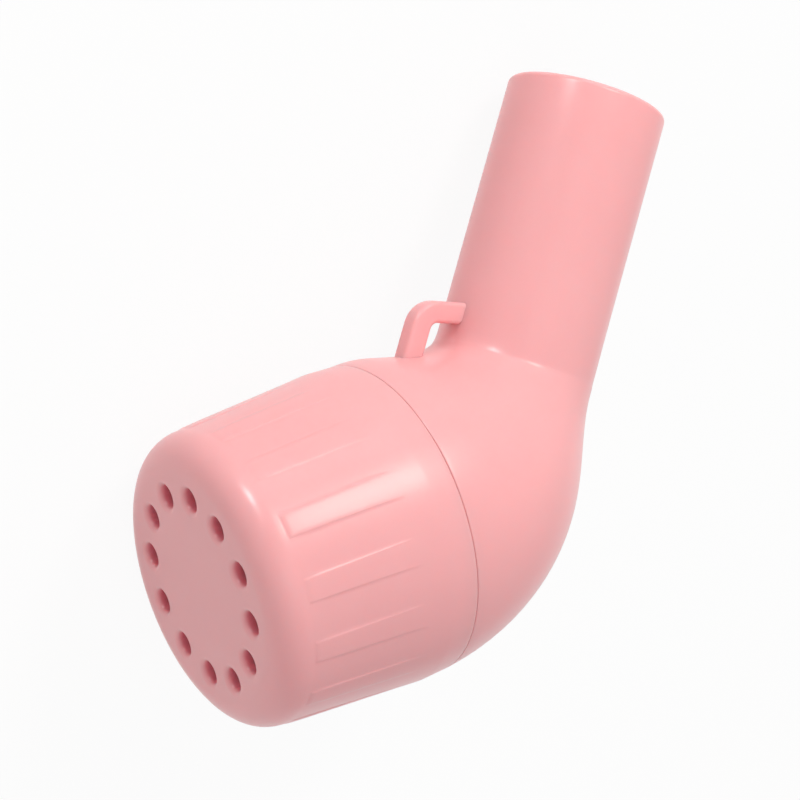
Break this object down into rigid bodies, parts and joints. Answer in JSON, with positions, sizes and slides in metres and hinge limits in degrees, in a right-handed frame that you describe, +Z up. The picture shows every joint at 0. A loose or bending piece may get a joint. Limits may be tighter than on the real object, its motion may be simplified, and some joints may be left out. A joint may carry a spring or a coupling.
{
  "type": "breathing trainer",
  "caption": "Pipe-shaped breathing trainer: a mouthpiece on a bent body, with a steel ball on a cone under a perforated screw cap and a lanyard loop.",
  "frame": {"origin": "centre of the bounding box's bottom, on the table that the trainer lies on", "axes": "+Z up from the table; +Y along the mouthpiece, seen from above, towards its open rim; the cap's perforated face looks towards -X and -Y"},
  "size_m": [0.0576, 0.0948, 0.0423],
  "materials": {
    "pink_body": "satin moulded pink",
    "pink_cap": "satin moulded pink",
    "cone": "milky natural plastic",
    "ball": "polished stainless steel",
    "seal": "pale silicone rubber"
  },
  "bodies": {
    "body": {"body": "pink_body", "ball_cone": "cone"},
    "seal_ring": {"seal_ring": "seal"},
    "perforated_cap": {"perforated_cap": "pink_cap"},
    "steel_ball": {"steel_ball": "ball"}
  },
  "joints": [
    {"name": "cap_lift", "type": "slide", "parent": "body", "child": "seal_ring", "axis": [-0.8208, -0.5662, -0.0748], "range_m": [0, 0.016]},
    {"name": "cap_turn", "type": "hinge", "parent": "seal_ring", "child": "perforated_cap", "pos_m": [0.00348, -0.01724, 0.02138], "axis": [-0.8208, -0.5662, -0.0748], "range_deg": [0, 1440]},
    {"name": "ball_roll", "type": "slide", "parent": "body", "child": "steel_ball", "axis": [0.6801, 0.4691, 0.5634], "range_m": [0, 0.0111]}
  ],
  "couplings": [
    {"joint": "cap_lift", "follows": "cap_turn", "m_per_rad": 0.00063661}
  ]
}
